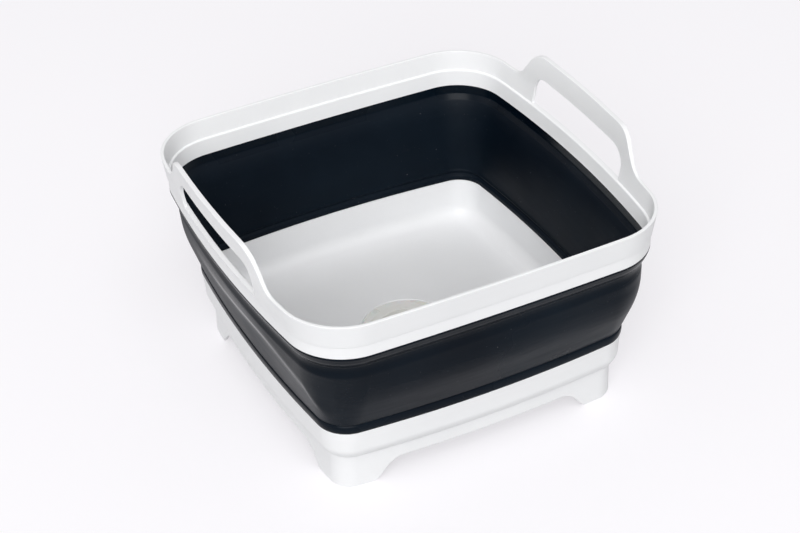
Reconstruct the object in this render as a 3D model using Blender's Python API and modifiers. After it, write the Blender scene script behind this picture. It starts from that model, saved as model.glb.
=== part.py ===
"""Collapsible camp sink: a rigid rim with two handles, a folding rubber wall and a footed base with a drain plug.

Metres, +Z up. X runs across the two handles, the front is -Y, and the feet stand on Z = 0.
Run with: blender --background --python part.py
"""

import math

import bmesh
import bpy
from mathutils import Matrix, Vector

# Plan of the sink. Every horizontal outline is one core shape, grown outwards by a radius.
RIM_WIDTH = 0.3150
RIM_DEPTH = 0.3080
CORNER_RADIUS = 0.0502
SIDE_BOW = 0.0060
RIM_FRONT_BOW = 0.0015

# Rim frame
RIM_TOP = 0.1720
RIM_BAND = 0.0304
RIM_DRAFT = 0.0032
RIM_WALL = 0.0024
LIP_EDGE = 0.0007
SEAM_HEIGHT = 0.0102
SEAM_STEP = 0.0006
BAND_DRAFT = 0.0004
LEDGE_HEIGHT = 0.0144
LEDGE_STEP = 0.0019
LEDGE_SLOPE = 0.0004

# Handles
HANDLE_RISE = 0.0286
HANDLE_LEAN = 0.0036
HANDLE_WALL = 0.0042
HANDLE_TOP_HALF = 0.0660
HANDLE_FOOT_HALF = 0.0848
HANDLE_SHOULDER = 0.0220
HANDLE_FLARE = 0.0090
GRIP_DEPTH = 0.0182
SLOT_HALF = 0.0655
SLOT_CORNER = 0.0120
SLOT_EDGE = 0.0010

# Folding wall
WALL_SKIN = 0.0020
NECK_HEIGHT = 0.0180
NECK_INSET = 0.0056
PANEL_BULGE = 0.0030
HINGE_SKIN = 0.0014
BEAD_HEIGHT = 0.0082
BEAD_PROUD = 0.0009
LEG_SKIN = 0.0009

# Joint between a rigid edge and the rubber that wraps round it
RIM_TONGUE = 0.0040
RIM_LAP = 0.0024
BASE_TONGUE = 0.0058
BASE_LAP = 0.0040
TONGUE_SKIN = 0.0012
FIT_GAP = 0.0003

# Base tray
BASE_WIDTH = 0.2666
BASE_BOW = 0.0052
BASE_RADIUS = 0.0254
BASE_TOP = 0.0570
BASE_DRAFT = 0.0012
BASE_WALL = 0.0034
BAND_CURL_TOP = 0.0425
BAND_CURL_ANGLE = 60.0
STEP_HEIGHT = 0.0289
STEP_INSET = 0.0066
SKIRT_WALL = 0.0024
FOOT_CHAMFER = 0.0006
FLOOR_TOP = 0.0270
FLOOR_SKIN = 0.0026
FLOOR_FILLET = 0.0110
ARCH_TOP = 0.0175
ARCH_TOP_HALF = 0.0755
ARCH_FOOT_HALF = 0.0895
ARCH_CORNER = 0.0180
RIB_COUNT = 8
RIB_DEPTH = 0.0045
RIB_SKIN = 0.0018
RIB_BITE = 0.0006

# Drain seat
HOLE_RADIUS = 0.0251
BOSS_SKIN = 0.0032
BOSS_DEPTH = 0.0060
SEAT_RADIUS = 0.0372
SEAT_DEPTH = 0.0010
SEAT_BEAD = 0.0014
SEAT_BEAD_WIDTH = 0.0030

# Drain plug
PLUG_LIFT = 0.0090
PLUG_GAP = 0.0004
CAP_RADIUS = 0.0298
CAP_SKIN = 0.0015
PLUG_WALL = 0.0017
DISH_DEPTH = 0.0050
DISH_SKIN = 0.0018
STRAINER_SLOTS = 12
STRAINER_OPEN = 0.58
STRAINER_HOOP = 0.0030
PULL_SKIN = 0.0040
SEAL_SKIN = 0.0015
SEAL_LIP = 0.0005
CATCH_HEIGHT = 0.0032
CATCH_WIDTH = 0.0030
CATCH_FLOOR = 0.0013

# How finely round stretches are divided
SIDE_STEPS = 6
CORNER_STEPS = 8
TURN_STEPS = 48
LIP_STEPS = 2
PANEL_STEPS = 6
CURL_STEPS = 5

# Worked out from the sizes above
CORE_X = RIM_WIDTH / 2 - SIDE_BOW - CORNER_RADIUS
CORE_Y = RIM_DEPTH / 2 - RIM_FRONT_BOW - CORNER_RADIUS
BASE_CORE = BASE_WIDTH / 2 - BASE_BOW - BASE_RADIUS
RIM_BOTTOM = RIM_TOP - RIM_BAND
SEAM_Z = RIM_BOTTOM + SEAM_HEIGHT
LEDGE_Z = RIM_BOTTOM + LEDGE_HEIGHT
HANDLE_TOP = RIM_TOP + HANDLE_RISE
BAND_RADIUS = CORNER_RADIUS - RIM_DRAFT - SEAM_STEP
RIM_BOTTOM_RADIUS = BAND_RADIUS - BAND_DRAFT
FLOOR_UNDER = FLOOR_TOP - FLOOR_SKIN
SEAT_Z = FLOOR_TOP - SEAT_DEPTH
BOSS_BOTTOM = FLOOR_UNDER - BOSS_DEPTH
CAP_UNDER = SEAT_Z + SEAL_SKIN + 2 * FIT_GAP
CAP_TOP = CAP_UNDER + CAP_SKIN
PLUG_RADIUS = HOLE_RADIUS - PLUG_GAP
DISH_Z = CAP_TOP - DISH_DEPTH
CATCH_TOP = BOSS_BOTTOM - PLUG_LIFT - FIT_GAP
CATCH_BOTTOM = CATCH_TOP - CATCH_HEIGHT
PLUG_BOTTOM = CATCH_BOTTOM + CATCH_FLOOR + FIT_GAP

PARTS = "collapsible_sink"
CUTTERS = "cutters"


# Scene, collections and materials
def start():
    for found in list(bpy.data.objects):
        bpy.data.objects.remove(found, do_unlink=True)
    for name in (PARTS, CUTTERS):
        group = bpy.data.collections.new(name)
        bpy.context.scene.collection.children.link(group)


def plastic(name, colour, roughness, transmission=0.0):
    material = bpy.data.materials.new(name)
    material.use_nodes = True
    shader = material.node_tree.nodes["Principled BSDF"]
    shader.inputs["Base Color"].default_value = (*colour, 1.0)
    shader.inputs["Roughness"].default_value = roughness
    shader.inputs["Metallic"].default_value = 0.0
    shader.inputs["Transmission Weight"].default_value = transmission
    return material


def new_object(name, bm, group, material=None):
    mesh = bpy.data.meshes.new(name)
    bm.to_mesh(mesh)
    bm.free()
    mesh.shade_smooth()
    mesh.set_sharp_from_angle(angle=math.radians(32))
    obj = bpy.data.objects.new(name, mesh)
    bpy.data.collections[group].objects.link(obj)
    if material:
        mesh.materials.append(material)
    return obj


def new_cutter(name, bm):
    obj = new_object(name, bm, CUTTERS)
    obj.display_type = "WIRE"
    obj.hide_render = True
    return obj


def combine(obj, other, operation):
    step = obj.modifiers.new(other.name, "BOOLEAN")
    step.operation = operation
    step.solver = "EXACT"
    step.object = other
    return step


# The core shape: a rectangle whose four sides bow outwards as arcs. It turns square down the wall.
def side_size(side, z):
    """Reach from the centre, half length and bow of side 0 (+X), 1 (+Y), 2 (-X) or 3 (-Y)."""
    if side % 2 == 0:
        high = (CORE_X, CORE_Y, SIDE_BOW)
    else:
        high = (CORE_Y, CORE_X, RIM_FRONT_BOW)
    low = (BASE_CORE, BASE_CORE, BASE_BOW)
    drop = min(max((RIM_BOTTOM - z) / (RIM_BOTTOM - BASE_TOP), 0.0), 1.0)
    return [top + (base - top) * drop for top, base in zip(high, low)]


def arc_radius(half, bow):
    return (half * half + bow * bow) / (2 * bow)


def end_angle(side, z):
    reach, half, bow = side_size(side, z)
    return math.asin(half / arc_radius(half, bow))


def core_point(column, z):
    """A point of the core outline and the way out from it.

    A column is a quarter (0 to 3), whether it lies on that quarter's side or the corner after it,
    and its share of the way along: -1 to 1 on a side, 0 to 1 round a corner.
    """
    quarter, on_side, share = column
    reach, half, bow = side_size(quarter, z)
    quarter_turn = quarter * math.pi / 2
    if on_side:
        radius = arc_radius(half, bow)
        angle = math.asin(share * half / radius)
        local = Vector((reach + bow - radius + radius * math.cos(angle), radius * math.sin(angle)))
    else:
        first = end_angle(quarter, z)
        last = math.pi / 2 - end_angle((quarter + 1) % 4, z)
        angle = first + (last - first) * share
        local = Vector((reach, half))
    turn = Matrix.Rotation(quarter_turn, 2)
    return turn @ local, turn @ Vector((math.cos(angle), math.sin(angle)))


def columns(side_shares):
    """All columns once round, anticlockwise from the +X side. side_shares gives each side's stations."""
    found = []
    for quarter in range(4):
        found += [(quarter, True, share) for share in side_shares[quarter % 2]]
        found += [(quarter, False, step / CORNER_STEPS) for step in range(1, CORNER_STEPS)]
    return found


def even_shares(steps):
    return [2 * step / steps - 1 for step in range(steps + 1)]


def at(column, radius, z):
    point, out = core_point(column, z)
    grown = point + out * radius
    return Vector((grown.x, grown.y, z))


def ring(around, radius, z):
    return [at(column, radius, z) for column in around]


def circle(around, radius, z):
    """A round ring with one point for each column, its first quarter centred on +X."""
    count = len(around)
    lead = (len([c for c in around if c[0] == 0 and c[1]]) - 1) / 2
    turns = [2 * math.pi * (index - lead) / count for index in range(count)]
    return [Vector((radius * math.cos(turn), radius * math.sin(turn), z)) for turn in turns]


def loft(rings):
    """A closed ring-shaped skin through horizontal outlines, the last one joined to the first."""
    bm = bmesh.new()
    loops = [[bm.verts.new(point) for point in outline] for outline in rings]
    for low, high in zip(loops, loops[1:] + loops[:1]):
        for index in range(len(low)):
            after = (index + 1) % len(low)
            bm.faces.new((low[index], low[after], high[after], high[index]))
    bmesh.ops.recalc_face_normals(bm, faces=bm.faces)
    return bm


# Flat outlines
def rounded_path(corners, radii, steps):
    """Points of an open path whose inner corners are rounded by arcs."""
    path = [Vector(corners[0])]
    for before, corner, after, radius in zip(corners, corners[1:], corners[2:], radii):
        before, corner, after = Vector(before), Vector(corner), Vector(after)
        into = (before - corner).normalized()
        onward = (after - corner).normalized()
        half = into.angle(onward) / 2
        centre = corner + (into + onward).normalized() * radius / math.sin(half)
        first = corner + into * radius / math.tan(half) - centre
        sweep = math.pi - 2 * half
        turn = math.copysign(sweep, first.y * into.x - first.x * into.y)
        for step in range(steps + 1):
            path.append(centre + Matrix.Rotation(turn * step / steps, 2) @ first)
    path.append(Vector(corners[-1]))
    return path


def prism(outline, first, last, place):
    """A flat outline pushed from first to last. place turns (across, up, along) into a point."""
    bm = bmesh.new()
    face = bm.faces.new([bm.verts.new(place(p.x, p.y, first)) for p in outline])
    pushed = bmesh.ops.extrude_face_region(bm, geom=[face])
    moved = [item for item in pushed["geom"] if isinstance(item, bmesh.types.BMVert)]
    bmesh.ops.translate(bm, verts=moved, vec=place(0, 0, last) - place(0, 0, first))
    bmesh.ops.recalc_face_normals(bm, faces=bm.faces)
    return bm


def turned(name, profile, material):
    """A shape of revolution: profile is a closed or axis-to-axis list of (radius, height)."""
    bm = bmesh.new()
    dots = [bm.verts.new((radius, 0, height)) for radius, height in profile]
    for first, second in zip(dots, dots[1:]):
        bm.edges.new((first, second))
    if profile[0][0] > 0:
        bm.edges.new((dots[-1], dots[0]))
    obj = new_object(name, bm, PARTS, material)
    screw = obj.modifiers.new("Turn", "SCREW")
    screw.angle = 2 * math.pi
    screw.steps = TURN_STEPS
    screw.render_steps = TURN_STEPS
    screw.use_merge_vertices = True
    screw.merge_threshold = 0.00001
    screw.use_smooth_shade = True
    return obj


# Rim frame with its two handles
def rim_outer(z):
    """Radius of the rim's outer face at a height: it leans out up the handles and steps in at the seam."""
    if z > RIM_TOP:
        return CORNER_RADIUS + HANDLE_LEAN * ((z - RIM_TOP) / HANDLE_RISE) ** 2
    if z > SEAM_Z:
        return CORNER_RADIUS - RIM_DRAFT * (RIM_TOP - z) / (RIM_TOP - SEAM_Z)
    return BAND_RADIUS - BAND_DRAFT * (SEAM_Z - z) / SEAM_HEIGHT


def rim_skin(z):
    """Thickness of the rim at a height: it grows up the handles."""
    return RIM_WALL + (HANDLE_WALL - RIM_WALL) * max(z - RIM_TOP, 0) / HANDLE_RISE


def handle_path():
    """Half of the handle's edge as (distance along the side, height), from its middle to the rim's corner."""
    end = CORE_Y + CORNER_RADIUS * math.sin(end_angle(0, RIM_TOP))
    corners = [(0, HANDLE_TOP), (HANDLE_TOP_HALF, HANDLE_TOP), (HANDLE_FOOT_HALF, RIM_TOP), (end, RIM_TOP)]
    return rounded_path(corners, [HANDLE_SHOULDER, HANDLE_FLARE], 5)


def edge_height(path, along):
    for low, high in zip(path, path[1:]):
        if along <= high.x:
            share = (along - low.x) / (high.x - low.x)
            return low.y + (high.y - low.y) * share
    return path[-1].y


def rim_frame(white):
    path = handle_path()
    end = path[-1].x
    top_flat = [path[1].x * step / 4 for step in range(4)]
    half = top_flat + [point.x for point in path[1:]]
    shares = [-along / end for along in reversed(half[1:])] + [along / end for along in half]
    around = columns([shares, even_shares(SIDE_STEPS)])

    tops = []
    for quarter, on_side, share in around:
        on_handle = on_side and quarter % 2 == 0
        tops.append(edge_height(path, abs(share) * end) if on_handle else RIM_TOP)

    tongue_out = RIM_BOTTOM_RADIUS - FIT_GAP - LEG_SKIN
    tongue_in = tongue_out - TONGUE_SKIN
    lap_z = RIM_BOTTOM + RIM_LAP
    lap_radius = tongue_in - FIT_GAP - LEG_SKIN
    ledge_low = rim_outer(LEDGE_Z) - RIM_WALL - LEDGE_STEP
    above_ledge = LEDGE_Z + LEDGE_SLOPE

    def level(radius, z):
        return ring(around, radius, z)

    def raised(share, inside):
        """A ring at a share of the way from the ledge to the edge, which climbs over the handles."""
        heights = [above_ledge + (top - LIP_EDGE - above_ledge) * share for top in tops]
        return [at(c, rim_outer(z) - rim_skin(z) * inside, z) for c, z in zip(around, heights)]

    def lip_ring(turn, inside):
        """A ring round the edge's outer or inner corner, which is rounded by a quarter turn."""
        outline = []
        for column, top in zip(around, tops):
            middle = rim_outer(top) - (rim_skin(top) - LIP_EDGE if inside else LIP_EDGE)
            height = top - LIP_EDGE + LIP_EDGE * math.sin(turn)
            outline.append(at(column, middle + LIP_EDGE * math.cos(turn), height))
        return outline

    rings = [
        level(tongue_out, RIM_BOTTOM - RIM_TONGUE),
        level(tongue_out, RIM_BOTTOM),
        level(rim_outer(RIM_BOTTOM), RIM_BOTTOM),
        level(rim_outer(SEAM_Z), SEAM_Z),
        level(rim_outer(SEAM_Z + SEAM_STEP), SEAM_Z + SEAM_STEP),
        raised(0, False),
        raised(0.5, False),
    ]
    quarter_turn = math.pi / 2 / LIP_STEPS
    rings += [lip_ring(quarter_turn * step, False) for step in range(LIP_STEPS + 1)]
    rings += [lip_ring(quarter_turn * (step + LIP_STEPS), True) for step in range(LIP_STEPS + 1)]
    rings += [
        raised(0.5, True),
        raised(0, True),
        level(ledge_low, LEDGE_Z),
        level(lap_radius, lap_z),
        level(tongue_in, lap_z),
        level(tongue_in, RIM_BOTTOM - RIM_TONGUE),
    ]
    frame = new_object("rim_frame", loft(rings), PARTS, white)

    slot_top = HANDLE_TOP - GRIP_DEPTH
    slot_low = LEDGE_Z + LEDGE_SLOPE / 2
    corners = [
        (0, slot_top), (SLOT_HALF, slot_top), (SLOT_HALF, slot_low),
        (-SLOT_HALF, slot_low), (-SLOT_HALF, slot_top), (0, slot_top),
    ]
    slot = rounded_path(corners, [SLOT_CORNER, SLOT_EDGE, SLOT_EDGE, SLOT_CORNER], 5)[:-1]
    reach = RIM_WIDTH / 2 + HANDLE_LEAN + CORNER_RADIUS
    combine(
        frame,
        new_cutter("handle_slots", prism(slot, -reach, reach, lambda a, u, l: Vector((l, a, u)))),
        "DIFFERENCE",
    )
    return frame


# Folding wall, which wraps round the rim's tongue above and the base's tongue below
def wall_stations():
    """Outer radius, skin and height down the wall, from under the rim to the top of the bead."""
    top = RIM_BOTTOM_RADIUS
    fold_z = RIM_BOTTOM - NECK_HEIGHT
    fold_radius = top - NECK_INSET
    hinge_z = BASE_TOP + BEAD_HEIGHT
    hinge_radius = BASE_RADIUS + BEAD_PROUD * 0.6
    neck = [(0.22, 0.0), (0.48, 0.10), (0.66, 0.38), (0.84, 0.76)]
    stations = [(top - NECK_INSET * inset, WALL_SKIN, RIM_BOTTOM - NECK_HEIGHT * drop) for drop, inset in neck]
    for step in range(PANEL_STEPS + 1):
        share = step / PANEL_STEPS
        radius = fold_radius + (hinge_radius - fold_radius) * share
        radius += PANEL_BULGE * 4 * share * (1 - share)
        skin = HINGE_SKIN if step in (0, PANEL_STEPS) else WALL_SKIN
        stations.append((radius, skin, fold_z + (hinge_z - fold_z) * share))
    return stations


def silicone_wall(black):
    around = columns([even_shares(SIDE_STEPS)] * 2)
    rim_tongue_out = RIM_BOTTOM_RADIUS - FIT_GAP - LEG_SKIN
    rim_tongue_in = rim_tongue_out - TONGUE_SKIN
    base_tongue_out = BASE_RADIUS - LEG_SKIN
    base_tongue_in = base_tongue_out - TONGUE_SKIN
    tongue_low = RIM_BOTTOM - RIM_TONGUE
    tongue_high = BASE_TOP + BASE_TONGUE
    bead_radius = BASE_RADIUS + BEAD_PROUD
    bead_top = BASE_TOP + BEAD_HEIGHT * 0.82
    bead_bottom = BASE_TOP + FIT_GAP
    stations = wall_stations()

    outer = [(RIM_BOTTOM_RADIUS, RIM_BOTTOM - FIT_GAP)]
    outer += [(radius, z) for radius, skin, z in stations]
    outer += [
        (bead_radius, (bead_top + bead_bottom) / 2),
        (bead_radius - BEAD_PROUD * 0.4, bead_bottom + BEAD_PROUD),
        (BASE_RADIUS, bead_bottom),
    ]
    low_groove = [
        (base_tongue_out + FIT_GAP, bead_bottom),
        (base_tongue_out + FIT_GAP, tongue_high + FIT_GAP),
        (base_tongue_in - FIT_GAP, tongue_high + FIT_GAP),
        (base_tongue_in - FIT_GAP, BASE_TOP + BASE_LAP + FIT_GAP),
    ]
    inner_low = base_tongue_in - FIT_GAP - LEG_SKIN
    inner = [
        (inner_low, BASE_TOP + BASE_LAP + FIT_GAP),
        (inner_low, bead_top),
    ]
    inner += [(radius - skin, z) for radius, skin, z in reversed(stations[1:])]
    inner_high = rim_tongue_in - FIT_GAP - LEG_SKIN
    high_groove = [
        (inner_high, RIM_BOTTOM - RIM_TONGUE - 2 * LEG_SKIN),
        (inner_high, RIM_BOTTOM + RIM_LAP - FIT_GAP),
        (rim_tongue_in - FIT_GAP, RIM_BOTTOM + RIM_LAP - FIT_GAP),
        (rim_tongue_in - FIT_GAP, tongue_low - FIT_GAP),
        (rim_tongue_out + FIT_GAP, tongue_low - FIT_GAP),
        (rim_tongue_out + FIT_GAP, RIM_BOTTOM - FIT_GAP),
    ]
    section = outer + low_groove + inner + high_groove
    return new_object("silicone_wall", loft([ring(around, r, z) for r, z in section]), PARTS, black)


# Base tray: basin, outer band, skirt with four feet, and the drain seat
def base_tray(white):
    around = columns([even_shares(SIDE_STEPS)] * 2)
    tongue_out = BASE_RADIUS - LEG_SKIN
    tongue_in = tongue_out - TONGUE_SKIN
    tongue_top = BASE_TOP + BASE_TONGUE
    lap_z = BASE_TOP + BASE_LAP
    inner_top = BASE_RADIUS - BASE_WALL
    inner_low = inner_top - BASE_DRAFT
    curl_radius = BASE_RADIUS - BASE_DRAFT
    skirt_radius = curl_radius - STEP_INSET
    skirt_in = skirt_radius - SKIRT_WALL
    boss_radius = HOLE_RADIUS + BOSS_SKIN

    outer = [(tongue_out, tongue_top), (tongue_out, BASE_TOP), (BASE_RADIUS, BASE_TOP)]
    last = math.radians(BAND_CURL_ANGLE)
    for step in range(CURL_STEPS + 1):
        turn = last * step / CURL_STEPS
        drop = (BAND_CURL_TOP - STEP_HEIGHT) * math.sin(turn) / math.sin(last)
        inset = STEP_INSET * (1 - math.cos(turn)) / (1 - math.cos(last))
        outer.append((curl_radius - inset, BAND_CURL_TOP - drop))
    outer += [
        (skirt_radius, FOOT_CHAMFER),
        (skirt_radius - FOOT_CHAMFER, 0),
        (skirt_in, 0),
        (skirt_in, FLOOR_UNDER),
    ]
    drain = [
        (boss_radius, FLOOR_UNDER),
        (boss_radius, BOSS_BOTTOM),
        (HOLE_RADIUS, BOSS_BOTTOM),
        (HOLE_RADIUS, SEAT_Z),
        (SEAT_RADIUS, SEAT_Z),
        (SEAT_RADIUS, FLOOR_TOP + SEAT_BEAD * 0.6),
        (SEAT_RADIUS + SEAT_BEAD_WIDTH * 0.35, FLOOR_TOP + SEAT_BEAD),
        (SEAT_RADIUS + SEAT_BEAD_WIDTH * 0.7, FLOOR_TOP + SEAT_BEAD * 0.6),
        (SEAT_RADIUS + SEAT_BEAD_WIDTH, FLOOR_TOP),
    ]
    inner = []
    for step in range(5):
        turn = math.pi / 2 * step / 4
        inner.append((inner_low - FLOOR_FILLET * (1 - math.sin(turn)), FLOOR_TOP + FLOOR_FILLET * (1 - math.cos(turn))))
    inner += [(inner_top, lap_z), (tongue_in, lap_z), (tongue_in, tongue_top)]

    rings = [ring(around, r, z) for r, z in outer]
    rings += [circle(around, r, z) for r, z in drain]
    rings += [ring(around, r, z) for r, z in inner]
    tray = new_object("base_tray", loft(rings), PARTS, white)

    below = -0.01
    slope = (ARCH_FOOT_HALF - ARCH_TOP_HALF) / ARCH_TOP
    corners = [
        (0, below), (-ARCH_FOOT_HALF + slope * below, below), (-ARCH_TOP_HALF, ARCH_TOP),
        (ARCH_TOP_HALF, ARCH_TOP), (ARCH_FOOT_HALF - slope * below, below), (0, below),
    ]
    arch = rounded_path(corners, [0.001, ARCH_CORNER, ARCH_CORNER, 0.001], 4)[:-1]
    for side in range(4):
        reach, half, bow = side_size(side, 0)
        turn = Matrix.Rotation(side * math.pi / 2, 3, "Z")
        inside = reach + skirt_in - 2 * SKIRT_WALL
        outside = reach + bow + BASE_RADIUS + SKIRT_WALL
        cutter = prism(arch, inside, outside, lambda a, u, l: turn @ Vector((l, a, u)))
        combine(tray, new_cutter(f"arch_{side}", cutter), "DIFFERENCE")
    combine(tray, floor_ribs(skirt_in), "UNION")
    return tray


def floor_ribs(skirt_in):
    """Stiffening ribs under the floor, from the drain boss out to the skirt."""
    bm = bmesh.new()
    start = HOLE_RADIUS + BOSS_SKIN / 2
    for index in range(RIB_COUNT):
        turn = 2 * math.pi * index / RIB_COUNT
        way = Vector((math.cos(turn), math.sin(turn)))
        straight = (BASE_CORE + BASE_BOW + skirt_in) / max(abs(part) for part in way)
        corner = BASE_CORE * math.sqrt(2) + skirt_in
        end = min(straight, corner) + SKIRT_WALL / 2
        made = bmesh.ops.create_cube(bm, size=1)
        size = Matrix.Diagonal((end - start, RIB_SKIN, RIB_DEPTH + RIB_BITE, 1))
        place = Matrix.Translation(((start + end) / 2, 0, FLOOR_UNDER + (RIB_BITE - RIB_DEPTH) / 2))
        bmesh.ops.transform(bm, matrix=Matrix.Rotation(turn, 4, "Z") @ place @ size, verts=made["verts"])
    return new_cutter("floor_ribs", bm)


# Drain plug, its seal and the catch ring that keeps it in the hole
def drain_plug(white):
    skirt_in = PLUG_RADIUS - PLUG_WALL
    dish_radius = skirt_in
    edge = CAP_SKIN / 3
    profile = [
        (0, DISH_Z),
        (dish_radius - edge, DISH_Z),
        (dish_radius, DISH_Z + edge),
        (dish_radius, CAP_TOP - edge),
        (dish_radius + edge, CAP_TOP),
        (CAP_RADIUS - edge, CAP_TOP),
        (CAP_RADIUS, CAP_TOP - edge),
        (CAP_RADIUS, CAP_UNDER),
        (PLUG_RADIUS, CAP_UNDER),
        (PLUG_RADIUS, PLUG_BOTTOM),
        (skirt_in, PLUG_BOTTOM),
        (skirt_in, DISH_Z - DISH_SKIN),
        (0, DISH_Z - DISH_SKIN),
    ]
    plug = turned("drain_plug", profile, white)

    bm = bmesh.new()
    low = PLUG_BOTTOM + STRAINER_HOOP
    high = DISH_Z - DISH_SKIN
    width = 2 * math.pi * skirt_in / STRAINER_SLOTS * STRAINER_OPEN
    for index in range(STRAINER_SLOTS):
        made = bmesh.ops.create_cube(bm, size=1)
        size = Matrix.Diagonal((4 * PLUG_WALL, width, high - low, 1))
        place = Matrix.Translation((PLUG_RADIUS - PLUG_WALL / 2, 0, (high + low) / 2))
        turn = Matrix.Rotation(2 * math.pi * (index + 0.5) / STRAINER_SLOTS, 4, "Z")
        bmesh.ops.transform(bm, matrix=turn @ place @ size, verts=made["verts"])
    combine(plug, new_cutter("strainer_slots", bm), "DIFFERENCE")

    pull_top = CAP_TOP - edge
    half = dish_radius + PLUG_WALL / 2
    corners = [(0, DISH_Z - DISH_SKIN / 2), (half, DISH_Z - DISH_SKIN / 2), (half, pull_top - DISH_DEPTH * 0.3)]
    rise = [(half * 0.62, pull_top - DISH_DEPTH * 0.3), (half * 0.45, pull_top)]
    side = corners + rise
    outline = [Vector(p) for p in side] + [Vector((-x, z)) for x, z in reversed(side[1:])]
    pull = prism(outline, -PULL_SKIN / 2, PULL_SKIN / 2, lambda a, u, l: Vector((a, l, u)))
    combine(plug, new_cutter("pull_bar", pull), "UNION")
    return plug


def plug_seal(clear):
    inner = PLUG_RADIUS + FIT_GAP
    outer = SEAT_RADIUS - FIT_GAP - SEAL_LIP
    low = SEAT_Z + FIT_GAP
    high = low + SEAL_SKIN
    profile = [
        (inner, high),
        (CAP_RADIUS + FIT_GAP, high),
        (CAP_RADIUS + 3 * FIT_GAP, high + SEAL_LIP),
        (outer - SEAL_LIP, high + SEAL_LIP),
        (outer, high),
        (outer + SEAL_LIP, low + SEAL_LIP),
        (outer, low),
        (inner, low),
    ]
    return turned("plug_seal", profile, clear)


def catch_ring(white):
    inner = PLUG_RADIUS + FIT_GAP
    profile = [
        (inner, CATCH_TOP),
        (inner + CATCH_WIDTH, CATCH_TOP),
        (inner + CATCH_WIDTH, CATCH_BOTTOM + CATCH_FLOOR),
        (inner + CATCH_WIDTH - CATCH_FLOOR, CATCH_BOTTOM),
        (inner - PLUG_WALL, CATCH_BOTTOM),
        (inner - PLUG_WALL, CATCH_BOTTOM + CATCH_FLOOR),
        (inner, CATCH_BOTTOM + CATCH_FLOOR),
    ]
    return turned("catch_ring", profile, white)


def main():
    start()
    white = plastic("white_plastic", (0.86, 0.87, 0.88), 0.35)
    black = plastic("black_silicone", (0.012, 0.016, 0.024), 0.45)
    clear = plastic("clear_silicone", (0.80, 0.79, 0.72), 0.30, transmission=0.4)
    rim_frame(white)
    silicone_wall(black)
    base_tray(white)
    drain_plug(white)
    plug_seal(clear)
    catch_ring(white)


main()
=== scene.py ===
# %% [markdown]
# Collapsible camp sink
#
# A white rim with two hand grips, a dark silicone wall that folds, and a white base with a drain plug. The
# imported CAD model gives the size, the bodies and the joints. This script models each piece again with fine,
# smooth surfaces, gives it its finish, and lights it in a plain studio. Lengths are in millimetres while a
# piece is drawn, and turn into metres at the last step.

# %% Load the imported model
import math
from collections import namedtuple

import bmesh
import bpy
from mathutils import Matrix, Vector, noise


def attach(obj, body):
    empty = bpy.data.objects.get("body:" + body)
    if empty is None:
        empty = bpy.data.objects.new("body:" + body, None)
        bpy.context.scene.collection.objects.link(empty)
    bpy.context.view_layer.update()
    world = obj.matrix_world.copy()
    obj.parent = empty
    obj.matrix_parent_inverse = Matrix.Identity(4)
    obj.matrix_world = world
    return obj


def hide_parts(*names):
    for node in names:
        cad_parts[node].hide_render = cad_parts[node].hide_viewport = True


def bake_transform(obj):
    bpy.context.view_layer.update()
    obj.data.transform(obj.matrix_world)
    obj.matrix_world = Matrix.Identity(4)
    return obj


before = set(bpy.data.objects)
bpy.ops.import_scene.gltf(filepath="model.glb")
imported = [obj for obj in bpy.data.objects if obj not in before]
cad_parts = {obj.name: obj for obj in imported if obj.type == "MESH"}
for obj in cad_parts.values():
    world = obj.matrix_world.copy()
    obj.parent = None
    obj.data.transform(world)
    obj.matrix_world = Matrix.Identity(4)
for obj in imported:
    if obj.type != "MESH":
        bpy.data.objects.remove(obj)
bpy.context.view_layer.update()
MM = 0.001

# %% [markdown]
# The plan of the sink
#
# Seen from above, every outline of the sink is a square whose four sides bow outwards, with round corners.
# Each outline could be a curve of its own, but one core outline is enough for all of them, because a piece
# stands at some radius out from it. The rim's core is a little longer than wide and bows most at the
# handles. Down the wall it turns into the square core of the base.

# %% The core outline
RIM_TOP = 172.0
RIM_LOW = 141.6
RIM_RADIUS = 50.2
BASE_TOP = 57.0
SIDE_CORE = (101.3, 102.3, 6.0)
FRONT_CORE = (102.3, 101.3, 1.5)
BASE_CORE = (102.7, 102.7, 5.2)
HAIR = 0.0001

Part = namedtuple("Part", "quarter on_side start length")


def side_of(quarter, height):
    """Reach, half length and bow of a side. Quarter 0 is +X, 1 is +Y, 2 is -X and 3 is -Y."""
    upper = SIDE_CORE if quarter % 2 == 0 else FRONT_CORE
    drop = min(max((RIM_LOW - height) / (RIM_LOW - BASE_TOP), 0.0), 1.0)
    return [high + (low - high) * drop for high, low in zip(upper, BASE_CORE)]


def bow_radius(half, bow):
    """Radius of the arc that a side follows."""
    return (half * half + bow * bow) / (2 * bow)


def end_turn(quarter, height):
    """How far a side has turned where it meets its corner."""
    _, half, bow = side_of(quarter, height)
    return math.asin(half / bow_radius(half, bow))


def lay_out(height, radius):
    """A strip's plan: its sides and corners in turn, each with its start and its length."""
    parts, start = [], 0.0
    for quarter in range(4):
        _, half, bow = side_of(quarter, height)
        bend = bow_radius(half, bow)
        side = 2 * half * (bend + radius) / bend
        corner = radius * (math.pi / 2 - end_turn(quarter, height) - end_turn((quarter + 1) % 4, height))
        parts.append(Part(quarter, True, start, side))
        parts.append(Part(quarter, False, start + side, corner))
        start += side + corner
    return parts


def part_at(parts, along):
    """The side or corner that a place along the strip lies on, with a hair's play at its end."""
    for part in parts:
        if along < part.start + part.length + HAIR:
            return part
    return parts[-1]


print("round the rim:", round(sum(part.length for part in lay_out(RIM_TOP, RIM_RADIUS))), "mm")

# %% [markdown]
# A straight strip
#
# The rim, the wall and the base have one cross-section all the way round, apart from handles and arches.
# They could be lofted ring by ring, but cuts and raised edges are easier on something straight. So each one
# is drawn as a section and pulled along as a straight strip, with X along it, Y as the radius and Z up.

# %% Draw a section and pull it along
END_GAP = 0.5


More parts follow.
